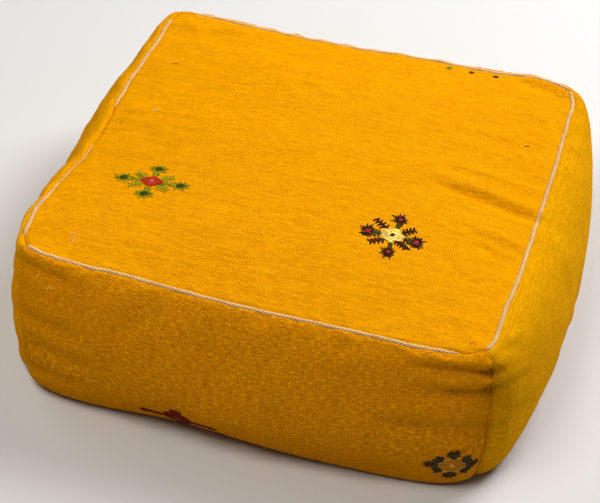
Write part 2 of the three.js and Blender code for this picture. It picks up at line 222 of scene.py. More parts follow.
def graded(cells):
    """Shares from -1 to 1 that lie closer together towards the ends, where the seams are."""
    u = np.linspace(-1, 1, cells + 1)
    return 0.45 * u + 0.55 * np.sin(u * math.pi / 2)


def in_plan(half, sharpness, x, y):
    """Shares of a square, laid into a square outline with rounded corners."""
    reach = np.maximum(np.abs(x), np.abs(y))
    rounded = (np.abs(x) ** sharpness + np.abs(y) ** sharpness) ** (1 / sharpness)
    scale = half * reach / np.where(rounded == 0, 1, rounded)
    return x * scale, y * scale


def turned(points, side):
    """Points of the front side, turned to another one."""
    angle = side * math.pi / 2
    cosine, sine = round(math.cos(angle)), round(math.sin(angle))
    x, y, z = points[..., 0], points[..., 1], points[..., 2]
    return np.stack([cosine * x - sine * y, sine * x + cosine * y, z], -1)


def top_form(x, y):
    crown = CROWN * (1 - x**2) * (1 - y**2)
    z = SEAM_HEIGHT - SEAM_DIP * (1 - x**2 * y**2) + crown
    return np.stack([*in_plan(SEAM_HALF, SHARPNESS["seam"], x, y), z], -1)


def side_form(side, t, v):
    """t runs along a side, from -1 to 1, and v up it: base 0, widest 0.5, seam 1."""
    middle = 1 - t**2
    above = v > 0.5
    fullness, onset = UPPER_FULLNESS[SIDES[side]]
    upper = lerp(3.7, fullness, middle**onset)
    power = 2 / np.where(above, upper, lerp(2.2, 1.6, middle))
    angle = math.pi * np.abs(v - 0.5)
    outward = np.maximum(np.cos(angle), 0) ** power
    upward = np.sin(angle) ** power
    edge = np.where(above, 0, BASE_HALF - SEAM_HALF)
    half = SEAM_HALF + lerp(edge, lerp(BULGE["corner"], BULGE["middle"], middle), outward)
    z = lerp(WIDEST_HEIGHT, np.where(above, SEAM_HEIGHT - SEAM_DIP * middle, 0), upward)
    edge_sharpness = np.where(above, SHARPNESS["seam"], SHARPNESS["base"])
    sharpness = lerp(SHARPNESS["widest"], edge_sharpness, np.abs(2 * v - 1))
    x, y = in_plan(half, sharpness, t, -np.ones_like(t))
    return turned(np.stack([x, y, z], -1), side)


def base_form(x, y):
    plan = in_plan(BASE_HALF, SHARPNESS["base"], x, y)
    return np.stack([*plan, np.zeros_like(x)], -1)


def tucked(x, y, z):
    """How far the foot of the front is drawn in at a point, most a little left of its middle."""
    along = 0.15 * (1 - (x / BASE_HALF) ** 2) + 0.85 * np.exp(-(((x + 70 * MM) / (85 * MM)) ** 2))
    return TUCK * along * smooth(-y, 150 * MM, BASE_HALF) * np.exp(-((z / (45 * MM)) ** 2))


def form(cells, rows):
    """Grids of points over the six patches: the top, the four sides and the base."""
    along, up = graded(cells), (graded(rows) + 1) / 2
    x, y = crossed(along, along)
    t, v = crossed(along, up)
    patches = {"top": top_form(x, y), "base": base_form(x, y)}
    for number, side in enumerate(SIDES):
        patches[side] = side_form(number, t, v)
    return patches


# ---------------------------------------------------------------- grids and meshes

def grid_quads(columns, rows):
    i, j = crossed(np.arange(columns - 1), np.arange(rows - 1))
    a = i * rows + j
    return np.stack([a, a + rows, a + rows + 1, a + 1], -1).reshape(-1, 4)


class Skin:
    """All patches as one closed mesh, in which neighbours share the points of their seams."""

    def __init__(self, patches):
        points = np.concatenate([grid.reshape(-1, 3) for grid in patches.values()])
        _, first, number = np.unique(
            np.round(points, 6), axis=0, return_index=True, return_inverse=True
        )
        self.points = points[first]
        self.numbers, faces, start = {}, [], 0
        for name, grid in patches.items():
            size = grid.shape[0] * grid.shape[1]
            own = number.reshape(-1)[start : start + size]
            quads = own[grid_quads(*grid.shape[:2])]
            faces.append(quads[:, ::-1] if name == "base" else quads)
            self.numbers[name] = own.reshape(grid.shape[:2])
            start += size
        self.faces = np.concatenate(faces)
        edges = np.concatenate([self.faces[:, [k, (k + 1) % 4]] for k in range(4)])
        self.edges = np.unique(np.sort(edges, axis=1), axis=0)

    def normals(self):
        a, b, c, d = (self.points[self.faces[:, k]] for k in range(4))
        across = np.cross(c - a, d - b)
        total = np.zeros_like(self.points)
        for k in range(4):
            np.add.at(total, self.faces[:, k], across)
        return unit(total)

    def evened(self, values, rounds):
        """Values at the points, each drawn towards its neighbours' mean, that many times."""
        count = np.bincount(self.edges.ravel(), minlength=len(values))[:, None]
        for _ in range(rounds):
            total = np.zeros_like(values)
            np.add.at(total, self.edges[:, 0], values[self.edges[:, 1]])
            np.add.at(total, self.edges[:, 1], values[self.edges[:, 0]])
            values = lerp(values, total / count, 0.5)
        return values

    def gathered(self, patch_values):
        """Values given for each patch, as the mean at each shared point."""
        total, count = np.zeros(len(self.points)), np.zeros(len(self.points))
        for name, values in patch_values.items():
            np.add.at(total, self.numbers[name], values)
            np.add.at(count, self.numbers[name], 1)
        return total / np.maximum(count, 1)


def placed(name, data):
    made = bpy.data.objects.new(name, data)
    bpy.context.scene.collection.objects.link(made)
    return made


def new_object(name, points, faces):
    """A smooth mesh; its faces are an array, or a list where they differ in size."""
    if isinstance(faces, np.ndarray):
        faces = faces.tolist()
    mesh = bpy.data.meshes.new(name)
    mesh.from_pydata(np.asarray(points).tolist(), [], faces)
    mesh.polygons.foreach_set("use_smooth", np.ones(len(mesh.polygons), bool))
    return placed(name, mesh)


def put_attribute(piece, name, values):
    """Three numbers at each point of the mesh, for its material to read."""
    attribute = piece.data.attributes.new(name, "FLOAT_VECTOR", "POINT")
    attribute.data.foreach_set("vector", np.asarray(values, np.float32).ravel())


def finer(coarse, factor):
    """A coarse grid of vectors at a finer grid's points, on smooth curves both ways."""
    def along(values):
        last = len(values) - 1
        where = np.linspace(0, last, last * factor + 1)
        start = np.minimum(where.astype(int), last - 1)
        s = (where - start)[:, None, None]
        a, b, c, d = (values[np.clip(start + step, 0, last)] for step in (-1, 0, 1, 2))
        curve = 2 * a - 5 * b + 4 * c - d + s * (3 * (b - c) + d - a)
        return b + 0.5 * s * (c - a + s * curve)
    return np.swapaxes(along(np.swapaxes(along(coarse), 0, 1)), 0, 1)


def edge_distances(grid):
    """How far each point of a grid is from its four edges, along the cloth."""
    along = np.linalg.norm(np.diff(grid, axis=0), axis=-1)
    up = np.linalg.norm(np.diff(grid, axis=1), axis=-1)
    from_first = np.pad(np.cumsum(along, axis=0), ((1, 0), (0, 0)))
    from_bottom = np.pad(np.cumsum(up, axis=1), ((0, 0), (1, 0)))
    return from_first, from_first[-1:] - from_first, from_bottom, from_bottom[:, -1:] - from_bottom


# ---------------------------------------------------------------- the cover's shape

def simulated_folds():
    """Small folds for each patch: how a bag that is pumped up, with its seams drawn short, leaves
    its own evened shape."""
    skin = Skin(form(BAG_CELLS, BAG_ROWS))
    bag = new_object("bag", skin.points, skin.faces)
    seams = [grid[[0, -1], :].ravel() for grid in skin.numbers.values()]
    seams += [grid[:, [0, -1]].ravel() for grid in skin.numbers.values()]
    drawn = bag.vertex_groups.new(name="drawn")
    drawn.add(np.unique(np.concatenate(seams)).tolist(), 1.0, "REPLACE")
    cloth = bag.modifiers.new("cloth", "CLOTH").settings
    for key, value in BAG_CLOTH.items():
        setattr(cloth, key, value)
    cloth.effector_weights.gravity = 0
    scene = bpy.context.scene
    for number in range(1, BAG_FRAMES + 1):
        scene.frame_set(number)
    shaped = bag.evaluated_get(bpy.context.evaluated_depsgraph_get()).to_mesh()
    after = np.zeros(len(shaped.vertices) * 3)
    shaped.vertices.foreach_get("co", after)
    bpy.data.objects.remove(bag)
    scene.frame_set(1)
    moved = after.reshape(-1, 3) - skin.points
    folds = moved - skin.evened(moved, 10)
    size = np.linalg.norm(folds, axis=1)[:, None]
    folds *= np.minimum(1, FOLD_LIMIT / np.maximum(size, 1e-9)) * FOLD_SHARE
    return {name: folds[numbers] for name, numbers in skin.numbers.items()}


def fold_depths(points, normals):
    """How deep the listed folds press each point in."""
    depths = np.zeros(len(points))
    for start, end, depth, width in FOLDS:
        start, end = np.array(start) * MM, np.array(end) * MM
        length = np.linalg.norm(end - start)
        run = (end - start) / length
        along = (points - start) @ run / length
        off = points - start - np.clip(along, 0, 1)[:, None] * (end - start)
        beside = unit(np.cross(normals, run))
        across = np.einsum("ij,ij->i", off, beside) / (width * MM)
        beyond = np.linalg.norm(off, axis=1) / (width * MM)
        stray = np.maximum(beyond**2 - across**2, 0)
        # a valley, and a lower ridge on one side of it
        profile = np.exp(-(across**2)) - 0.55 * np.exp(-((across - 2) ** 2))
        ends = np.exp(-((np.maximum(np.abs(2 * along - 1) - 0.5, 0) / 0.6) ** 2))
        depths += depth * MM * profile * ends * np.exp(-stray / 4)
    return depths


def groove_depths(patches):
    """How deep the cloth is drawn in beside its seams."""
    def hollow(distance, depth):
        return depth * np.exp(-((distance / GROOVE_WIDTH) ** 2))
    depths = {}
    for name, grid in patches.items():
        first, last, bottom, top = edge_distances(grid)
        if name == "top":
            nearest = np.minimum(np.minimum(first, last), np.minimum(bottom, top))
            depths[name] = hollow(nearest, GROOVE["top"])
        elif name == "base":
            depths[name] = np.zeros(grid.shape[:2])
        else:
            corner = hollow(np.minimum(first, last), GROOVE["corner"])
            level = np.maximum(hollow(top, GROOVE["side"]), hollow(bottom, GROOVE["base"]))
            depths[name] = np.maximum(corner, level)
    return depths


def shaped_cover():
    """Each patch's points and normals, and where the liner's face lies under it, with normals."""
    folds = simulated_folds()
    patches = form(BAG_CELLS * FINER, BAG_ROWS * FINER)
    skin = Skin(patches)
    small = {name: finer(folds[name], FINER) for name in patches}
    for axis in range(3):
        moved = skin.gathered({name: grid[..., axis] for name, grid in small.items()})
        skin.points[:, axis] += moved * smooth(skin.points[:, 2], 12 * MM, 50 * MM)
    for centre, reach, pull in PULLS:
        off = (skin.points - np.array(centre) * MM) * [1, 1, 2.2]
        away = np.linalg.norm(off, axis=1) / (reach * MM)
        share = np.exp(-(away**2)) * smooth(skin.points[:, 2], 0, 20 * MM)
        skin.points += share[:, None] * np.array(pull) * MM
    skin.points[:, 1] += tucked(*skin.points.T)
    normals = skin.normals()
    off_floor = smooth(skin.points[:, 2], 0, 25 * MM)
    skin.points -= normals * (fold_depths(skin.points, normals) * off_floor)[:, None]
    plain, plain_normals = skin.points.copy(), skin.evened(skin.normals(), 6)
    lumps = np.random.default_rng(11).normal(0, UNEVEN, (len(skin.points), 1))
    skin.points += skin.normals() * skin.evened(lumps, 1) * off_floor[:, None]
    grooves = skin.gathered(groove_depths({n: skin.points[k] for n, k in skin.numbers.items()}))
    skin.points = skin.points - skin.normals() * grooves[:, None]
    normals = skin.normals()
    lining = plain - plain_normals * LINER_DEPTH
    return {
        name: (skin.points[numbers], normals[numbers], lining[numbers], plain_normals[numbers])
        for name, numbers in skin.numbers.items()
    }


def sheet(name, outer, inner, cloth=None, flip=False):
    """A closed sheet between two grids of points, with a wall round its edge."""
    columns, rows = outer.shape[:2]
    faces = grid_quads(columns, rows)
    count = columns * rows
    number = np.arange(count).reshape(columns, rows)
    rim = np.concatenate([number[:-1, 0], number[-1, :-1], number[:0:-1, -1], number[0, :0:-1]])
    following = np.roll(rim, -1)
    wall = np.stack([rim, rim + count, following + count, following], -1)
    faces = np.concatenate([faces, faces[:, ::-1] + count, wall])
    if flip:
        faces = faces[:, ::-1]
    points = np.concatenate([outer.reshape(-1, 3), inner.reshape(-1, 3)])
    piece = new_object(name, points, faces)
    if cloth is not None:
        put_attribute(piece, "cloth", np.concatenate([cloth.reshape(-1, 3)] * 2))
    return piece


def cloth_lengths(name, grid):
    """Where each point lies on the flat cloth: metres along the weft and along the warp, with
    every panel on its own stretch of the weave, and the panel's painted light tone, set after how
    light and shade fall on its side."""
    if name == "top":
        return grid * [1, 1, 0] + [0, 0, PANEL_LIGHT_TONE[name]]
    middle = grid[len(grid) // 2]
    up = lengths_along(middle)
    t = graded(len(grid) - 1) * (SEAM_HALF + 30 * MM)
    along, up = crossed(t, up)
    number = SIDES.index(name)
    return np.stack([along + 0.7 * number, up, np.full_like(up, PANEL_LIGHT_TONE[name])], -1)


def trimmed(grid):
    """A panel's grid with its own edge drawn back a little from the seam line."""
    grid = grid.copy()
    for edge, next_in in ((0, 1), (-1, -2)):
        step = grid[next_in] - grid[edge]
        grid[edge] += unit(step) * EDGE_GAP
    for edge, next_in in ((0, 1), (-1, -2)):
        step = grid[:, next_in] - grid[:, edge]
        grid[:, edge] += unit(step) * EDGE_GAP
    return grid


def cover_panel(name, surface):
    points, normals, _, _ = surface[name]
    outer = trimmed(points)
    return sheet(name + "_cloth", outer, outer - normals * WOOL, cloth_lengths(name, points))


# ---------------------------------------------------------------- threads and cords

def tube(path, radius, sides=6, frame_up=None, flat=1.0):
    """Points and faces of a round thread along a path; radius may change along it."""
    path = np.asarray(path)
    run = unit(np.gradient(path, axis=0))
    up = np.broadcast_to([0, 0, 1.0] if frame_up is None else frame_up, path.shape)
    beside = unit(np.cross(run, up))
    up = np.cross(beside, run)
    angles = (np.arange(sides) * 2 * math.pi / sides)[:, None]
    radius = np.broadcast_to(radius, len(path))[:, None, None]
    ring = np.cos(angles) * beside[:, None] + flat * np.sin(angles) * up[:, None]
    points = (path[:, None] + radius * ring).reshape(-1, 3)
    i, k = crossed(np.arange(len(path) - 1), np.arange(sides))
    a, b = i * sides + k, i * sides + (k + 1) % sides
    faces = np.stack([a, a + sides, b + sides, b], -1).reshape(-1, 4).tolist()
    last = (len(path) - 1) * sides
    faces.append(list(range(sides)))
    faces.append([last + k for k in reversed(range(sides))])
    return points, faces


def resampled(path, step, *values):
    """A path, and values along it, at even steps."""
    length = lengths_along(path)
    where = np.linspace(0, length[-1], int(length[-1] / step) + 1)
    def even(v):
        return np.stack([np.interp(where, length, column) for column in np.atleast_2d(v.T)], -1)
    return where, even(path), *[even(v) for v in values]


def bundle(name, tubes, attribute_values=None):
    """Several threads as one object."""
    points, faces, start = [], [], 0
    for own_points, own_faces in tubes:
        points.append(own_points)
        faces += [[start + k for k in face] for face in own_faces]
        start += len(own_points)
    made = new_object(name, np.concatenate(points), faces)
    if attribute_values is not None:
        put_attribute(made, "cloth", np.concatenate(attribute_values))
    return made


# Where the cord shows along each side, from -1 to 1 round the cushion anticlockwise seen from
# above: between the points it changes evenly. 1 is fully out, 0 is closed over by the cloth.
CORD_SHOWS = {
    "front": [(-0.995, 1), (0.80, 1), (0.86, 0.5), (0.90, 0)],
    "right": [(-0.985, 1), (0.985, 1)],
    "back": [(-0.975, 1), (0.86, 1), (0.92, 0)],
    "left": [(-0.93, 0), (-0.89, 1), (-0.17, 0.9), (-0.12, 0), (0.14, 0), (0.18, 0.5),
             (0.55, 0.6), (0.62, 1), (0.87, 1), (0.91, 0)],
}


def piping(side, surface):
    """The twisted cord in the top seam: three strands wound round each other."""
    points, normals, _, _ = surface[side]
    seam, out = points[:, -1], normals[:, -1]
    t = graded(len(seam) - 1)
    stops, shares = zip(*CORD_SHOWS[side])
    shows = np.interp(t, stops, shares)
    shows = shows * smooth(1 - np.abs(t), 0.004, 0.02)
    where, path, out, shows = resampled(seam, 1.1 * MM, out, shows[:, None])
    out = unit(out)
    run = unit(np.gradient(path, axis=0))
    beside = np.cross(run, out)
    shows = shows[:, 0]
    centre = path + out * lerp(CORD_SUNK, CORD_RISE, shows)[:, None]
    radius = STRAND * lerp(0.45, 1, shows)
    tubes, turns = [], []
    for strand in range(3):
        angle = where / CORD_TWIST * 2 * math.pi + strand * 2 * math.pi / 3
        off = np.cos(angle)[:, None] * beside + np.sin(angle)[:, None] * out
        wound = centre + off * (radius * 1.25)[:, None]
        tubes.append(tube(wound, radius, STRAND_SIDES, out))
        ring = tubes[-1][0].reshape(len(wound), STRAND_SIDES, 3) - wound[:, None]
        outward = np.einsum("ikj,ij->ik", ring, off) / radius[:, None]
        around = np.tile(np.arange(STRAND_SIDES) / STRAND_SIDES, len(wound))
        turns.append(np.stack([np.repeat(where, STRAND_SIDES), around, outward.ravel()], -1))
    return bundle("cord_" + side, tubes, turns)


# ---------------------------------------------------------------- woven motifs

YARN = {
    "black": (0.028, 0.007, 0.006),
    "crimson": (0.42, 0.020, 0.055),
    "forest": (0.030, 0.045, 0.010),
    "cream": (0.98, 0.72, 0.17),
    "red": (0.44, 0.022, 0.006),
    "olive": (0.035, 0.045, 0.006),
    "lime": (0.26, 0.27, 0.006),
    "maroon": (0.16, 0.006, 0.005),
    "rose": (0.55, 0.12, 0.09),
    "slate": (0.032, 0.034, 0.016),
    "straw": (0.62, 0.44, 0.10),
    "orange": (0.50, 0.17, 0.008),
    "rust": (0.80, 0.15, 0.008),
    "ivory": (0.90, 0.72, 0.42),
}


class Embroidery:
    """Stitches that follow a patch of the cover. Their places are in millimetres from a point of
    the patch: u along it, v up it."""

    def __init__(self, surface, patch, t, v, seed):
        self.points, self.normals, _, _ = surface[patch]
        columns, rows = self.points.shape[:2]
        up = graded(rows - 1) if patch == "top" else (graded(rows - 1) + 1) / 2
        self.i = np.interp(t, graded(columns - 1), np.arange(columns))
        self.j = np.interp(v, up, np.arange(rows))
        row, column = self.points[:, round(self.j)], self.points[round(self.i)]
        self.us = self.lengths(row, self.i)
        self.vs = self.lengths(column, self.j)
        self.rng = np.random.default_rng(seed)
        self.tubes, self.colours = [], []

    @staticmethod
    def lengths(line, start):
        total = lengths_along(line)
        return (total - np.interp(start, np.arange(len(line)), total)) / MM

    def on_cloth(self, u, v):
        """Points and normals of the cloth's face at those offsets."""
        i = np.clip(np.interp(u, self.us, np.arange(len(self.us))), 0, len(self.us) - 1.001)
        j = np.clip(np.interp(v, self.vs, np.arange(len(self.vs))), 0, len(self.vs) - 1.001)
        a, b = i.astype(int), j.astype(int)
        s, r = (i - a)[:, None], (j - b)[:, None]
        def at(grid):
            low = lerp(grid[a, b], grid[a + 1, b], s)
            return lerp(low, lerp(grid[a, b + 1], grid[a + 1, b + 1], s), r)
        return at(self.points), at(self.normals)

    def stitch(self, u0, v0, u1, v1, yarn, radius=0.95, height=0.1, shake=0.12):
        steps = max(3, int(math.hypot(u1 - u0, v1 - v0)) + 2)
        share = np.linspace(0, 1, steps)
        off = self.rng.normal(0, 1, 4) * shake
        u = lerp(u0 + off[0], u1 + off[1], share)
        v = lerp(v0 + off[2], v1 + off[3], share)
        points, normals = self.on_cloth(u, v)
        lift = height + 0.35 * np.sin(share * math.pi) ** 0.5
        radii = radius * MM * (0.45 + 0.55 * np.sin(share * math.pi) ** 0.4)
        path = points + normals * (lift * MM)[:, None]
        points, faces = tube(path, radii, frame_up=normals.mean(0), flat=0.7)
        self.tubes.append((points, faces))
        tint = np.array(YARN[yarn]) * self.rng.uniform(0.75, 1.25)
        self.colours.append(np.tile(tint, (len(points), 1)))

    def diamond(self, wide, high, fill, edge, dots):
        for v in np.arange(-high + 0.7, high - 0.3, 1.1):
            half = (wide - 0.6) * (1 - abs(v) / high)
            self.stitch(-half, v, half, v, fill, 0.8, shake=0)
        corners = [(wide, 0), (0, high), (-wide, 0), (0, -high), (wide, 0)]
        for (u0, v0), (u1, v1) in zip(corners, corners[1:]):
            self.stitch(u0, v0, u1, v1, edge, 0.65, 0.3, shake=0.05)
            for share in (0.15, 0.5, 0.85):
                u, v = lerp(u0, u1, share) * 0.6, lerp(v0, v1, share) * 0.6
                self.stitch(u - 0.7, v, u + 0.7, v, dots, 0.5, 0.75)
        for v in (-1.8, -0.9, 0, 0.9, 1.8):
            self.stitch(-2.4, v, 2.4, v, dots, 0.8, 0.8)

    def blossom(self, u, v, radius, body, heart, tips, spread=1.0, count=16, middle=0.62):
        """A round of rays over a filled middle."""
        for step in np.arange(-1, 1.01, 0.3) * middle:
            half = radius * middle * spread * math.sqrt(max(0, 1 - (step / middle / 1.1) ** 2))
            self.stitch(u - half, v + step * radius, u + half, v + step * radius, body)
        for number in range(count):
            angle = 2 * math.pi * (number + self.rng.uniform(-0.25, 0.25)) / count
            reach = radius * (1 if number % 2 else 0.8) * self.rng.uniform(0.92, 1.12)
            cosine, sine = math.cos(angle) * spread, math.sin(angle)
            start = 0.4 * radius
            ends = (u + start * cosine, v + start * sine, u + reach * cosine, v + reach * sine)
            self.stitch(*ends, tips, 0.9)
        for off in (-1.6, -0.5, 0.6, 1.7):
            half = 0.33 * radius - 0.6 * abs(off)
            self.stitch(u - half, v + off, u + half, v + off, heart, 0.8, 0.5)

    def arm(self, u0, v0, u1, v1, yarn, teeth=4, tooth=7.5, heavy=1.0):
        """A feathered arm: a spine with teeth that lean outwards on both sides."""
        self.stitch(u0, v0, u1, v1, yarn, 1.3 * heavy)
        length = math.hypot(u1 - u0, v1 - v0)
        du, dv = (u1 - u0) / length, (v1 - v0) / length
        for number in range(teeth):
            share = (number + 0.6) / teeth
            u, v = lerp(u0, u1, share), lerp(v0, v1, share)
            own = tooth * (1 - 0.3 * share)
            for side in (-1, 1):
                end_u = u + own * (0.5 * du - side * 0.85 * dv)
                end_v = v + own * (0.5 * dv + side * 0.85 * du)
                self.stitch(u, v, end_u, end_v, yarn, 1.05 * heavy)

    def motif(self, wide, high, reach, look, skip=()):
        """A diamond with a blossom off each corner and a feathered arm off each side."""
        for name, u, v in (("right", 1, 0), ("up", 0, 1), ("left", -1, 0), ("down", 0, -1)):
            if name not in skip:
                far = (u * reach[0], v * reach[1])
                near = (u * wide * 0.8, v * high * 0.8)
                stem_end = (far[0] * 0.8, far[1] * 0.8)
                self.arm(*near, *stem_end, look["stem"], 3, look["teeth"], look["heavy"])
                self.blossom(*far, look["size"], look["body"], look["heart"], look["tips"],
                             look["spread"], middle=look["middle"])
        for u, v in ((1, 1), (-1, 1), (-1, -1), (1, -1)):
            if not (v > 0 and "up" in skip):
                start = (u * wide * 0.5, v * high * 0.5)
                end = (u * look["arms"][0], v * look["arms"][1])
                self.arm(*start, *end, look["arm"], heavy=look["heavy"])
        self.diamond(wide, high, look["fill"], look["edge"], look["dots"])

    def scattered(self, stitches, radius, height=0.1, shake=0.12):
        """Single stitches, given by middle, half length both ways and yarn."""
        for u, v, du, dv, yarn in stitches:
            self.stitch(u - du, v - dv, u + du, v + dv, yarn, radius, height, shake)

    def finished(self, name):
        piece = bundle(name, self.tubes)
        put_attribute(piece, "yarn", np.concatenate(self.colours))
        return piece


LOOKS = {
    "dark": {"fill": "cream", "edge": "cream", "dots": "black", "body": "black", "tips": "black",
             "heart": "crimson", "stem": "forest", "arm": "black", "arms": (22, 18),
             "size": 10.5, "spread": 1.0, "middle": 0.62, "heavy": 1.15, "teeth": 5},
    "green": {"fill": "red", "edge": "red", "dots": "rose", "body": "olive", "tips": "lime",
              "heart": "olive", "stem": "lime", "arm": "lime", "arms": (22, 12),
              "size": 9.0, "spread": 1.3, "middle": 0.40, "heavy": 0.9, "teeth": 5},
    "maroon": {"fill": "maroon", "edge": "maroon", "dots": "rose", "body": "maroon",
               "heart": "maroon", "tips": "maroon", "stem": "maroon", "arm": "maroon",
               "arms": (12, 8), "size": 6.0, "spread": 1.3, "middle": 0.5, "heavy": 1.2,
               "teeth": 9},
    "slate": {"fill": "orange", "edge": "straw", "dots": "straw", "body": "slate",
              "heart": "maroon", "tips": "slate", "stem": "slate", "arm": "slate",
              "arms": (18, 11), "size": 7.0, "spread": 1.2, "middle": 0.6, "heavy": 1.1,
              "teeth": 5},
}


# Each whole motif: its patch and place there, its seed, the half sizes of its diamond, how far
# off its blossoms stand, its look, and the blossoms that it lacks.
MOTIFS = {
    "motif_dark": (("top", 0.456, -0.439, 1), (14.8, 13.8), (28, 28), "dark", ()),
    "motif_green": (("top", -0.629, -0.398, 2), (15, 9.8), (34, 23), "green", ()),
    "motif_maroon": (("front", -0.215, 0.31, 3), (9, 8), (38, 18), "maroon", ()),
    "motif_slate": (("front", 0.815, 0.425, 4), (18, 13.5), (23, 18), "slate", ()),
    "motif_back": (("back", -0.5, 0.86, 5), (14, 12), (31, 27), "green", ("up",)),
}

# Single stitches: middle, half length both ways, and yarn.
STRAYS = [
    (-221, 139, 5, 1.0, "black"),
    (-245, 5, 0, 3.0, "maroon"),
    (225, 113, 3, 1.5, "black"),
    (-211, 36, 3, 2.0, "ivory"),
    (246, -252, 4, 1.0, "rust"),
    (252, -254, 1, 2.0, "rust"),
]
HAIR = [(-211, -220, 1, 3, "ivory"), (-209, -225, -0.6, 2.4, "ivory"), (-208, -229, -2, 1.4, "ivory")]
FLECKS = [
    (-223, -40, 0.6, 3, "cream"),
    (-205, -52, 2, 3, "cream"),
    (-201, -49, 1, 2.5, "cream"),
    (-224, -45, 1, 1, "cream"),
]


def motifs(surface):
    pieces = []
    for name, (place, (wide, high), reach, look, skip) in MOTIFS.items():
        work = Embroidery(surface, *place)
        work.motif(wide, high, reach, LOOKS[look], skip)
        pieces.append(work.finished(name))
    crossing = Embroidery(surface, "top", 0.5, 0.95, 6)
    for u, yarn in ((-29, "lime"), (0, "maroon"), (31, "slate")):
        crossing.blossom(u, 0, 4.2, yarn, "forest", yarn, count=9)
    stray = Embroidery(surface, "top", 0, 0, 7)
    stray.scattered(STRAYS, 0.5)
    stray.scattered(HAIR, 0.3, 0.4, shake=0)
    flecks = Embroidery(surface, "front", 0, 1, 8)
    flecks.scattered(FLECKS, 0.4)
    pieces += [crossing.finished("motif_crossing"), stray.finished("stray_yarn")]
    return pieces + [flecks.finished("front_flecks")]


# ---------------------------------------------------------------- base and zip

def groove_share(x, y, flat, gone):
    across = 1 - smooth(np.abs(y), flat, gone)
    return across * (1 - smooth(np.abs(x), 218 * MM, 246 * MM))


def canvas_height(x, y):
    return RECESS * groove_share(x, y, 7 * MM, 20 * MM)


def base_half(name, direction):
    """Half of the base cloth, with its folded edge along the zip and pulled up off the floor."""
    near = np.linspace(0, 0.08, 13)
    rows = np.concatenate([near, 0.08 + 0.92 * np.sin(np.linspace(0, math.pi / 2, 49)[1:])])
    share, row = crossed(graded(120), rows)
    edge = BASE_HALF - LIP_GAP
    x, y = in_plan(edge, SHARPNESS["base"], share, np.maximum(row, 1e-9))
    lip = lerp(LIP, LIP_GAP, smooth(np.abs(x), 206 * MM, 216 * MM))
    y = lerp(lip, edge, y / edge) * direction
    y += tucked(x, y, 0)
    hem = 0.5 * MM * (1 - smooth(np.abs(y), 14 * MM, 15 * MM))
    height = canvas_height(x, y)
    outer = np.stack([x, y, height], -1)
    inner = outer + np.stack([0 * x, 0 * x, CANVAS + hem], -1)
    return sheet(name, outer, inner, np.stack([x, y, 0 * x], -1), flip=direction > 0)


def base_stitching():
    """Two rows of running stitches beside the zip, on each half."""
    tubes = []
    for y in STITCH_ROWS:
        for x in np.arange(-212, 212, 3.6):
            xs = np.linspace(x, x + 2.7, 6) * MM
            rise = np.sin(np.linspace(0, math.pi, 6))
            z = canvas_height(xs, y) + (0.1 - 0.32 * rise) * MM
            tubes.append(tube(np.stack([xs, 0 * xs + y, z], -1), 0.26 * MM))
    return bundle("base_stitching", tubes)


def zip_coil(name, direction):
    """One side of the zip's chain: a thread wound into a flattened coil."""
    turns = int(2 * (CHAIN_HALF - COIL_THREAD) / COIL_PITCH)
    angle = np.linspace(0, turns * 2 * math.pi, turns * 12 + 1)
    x = -turns * COIL_PITCH / 2 + angle / (2 * math.pi) * COIL_PITCH
    y = direction * (1.87 - 0.78 * np.cos(angle)) * MM
    z = ZIP_HEIGHT + 0.74 * MM * np.sin(angle)
    return bundle(name, [tube(np.stack([x, y, z], -1), COIL_THREAD)])


# ---------------------------------------------------------------- liner and filling

def side_ring(surface, depth):
    """Points round all four sides, that far inside the liner's face."""
    columns = []
    for side in SIDES:
        _, _, lining, normals = surface[side]
        level = lining - normals * depth
        level[..., 2] = np.maximum(level[..., 2], 4 * MM + depth)
        columns.append(level[:-1:2, ::2])
    return np.concatenate(columns)


def ring_sheet(name, outer, inner):
    """A closed band between two rings of columns."""
    columns, rows = outer.shape[:2]
    i, j = crossed(np.arange(columns), np.arange(rows - 1))
    after = (i + 1) % columns
    quads = np.stack([i * rows + j, after * rows + j, after * rows + j + 1, i * rows + j + 1], -1)
    quads = quads.reshape(-1, 4)
    count = columns * rows
    here, onward = np.arange(columns), (np.arange(columns) + 1) % columns
    low = np.stack([here * rows, here * rows + count, onward * rows + count, onward * rows], -1)
    high = low[:, ::-1] + rows - 1
    faces = np.concatenate([quads, quads[:, ::-1] + count, low, high])
    return new_object(name, np.concatenate([outer.reshape(-1, 3), inner.reshape(-1, 3)]), faces)


def fluffed(grid, seed, size):
    """A grid with the small lumps of pulled fibre on it."""
    lumps = np.random.default_rng(seed).normal(0, 1, grid.shape[:2])
    for axis in (0, 1):
        for _ in range(2):
            lumps = (lumps + np.roll(lumps, 1, axis) + np.roll(lumps, -1, axis)) / 3
    grid = grid.copy()
    grid[1:-1, 1:-1, 2] += np.clip(lumps * 3, -1, 1)[1:-1, 1:-1] * size
    return grid


def slab_level(cells, top):
    """One face of the foam slab, rolled over at its edge."""
    share = graded(cells)
    x, y = crossed(share, share)
    rolled = SLAB["edge"] * smooth(np.maximum(np.abs(x), np.abs(y)), 0.97, 1)
    height = SLAB["top"] - rolled if top else SLAB["bottom"] + rolled
    return np.stack([*in_plan(SLAB["half"], SHARPNESS["base"], x, y), height], -1)


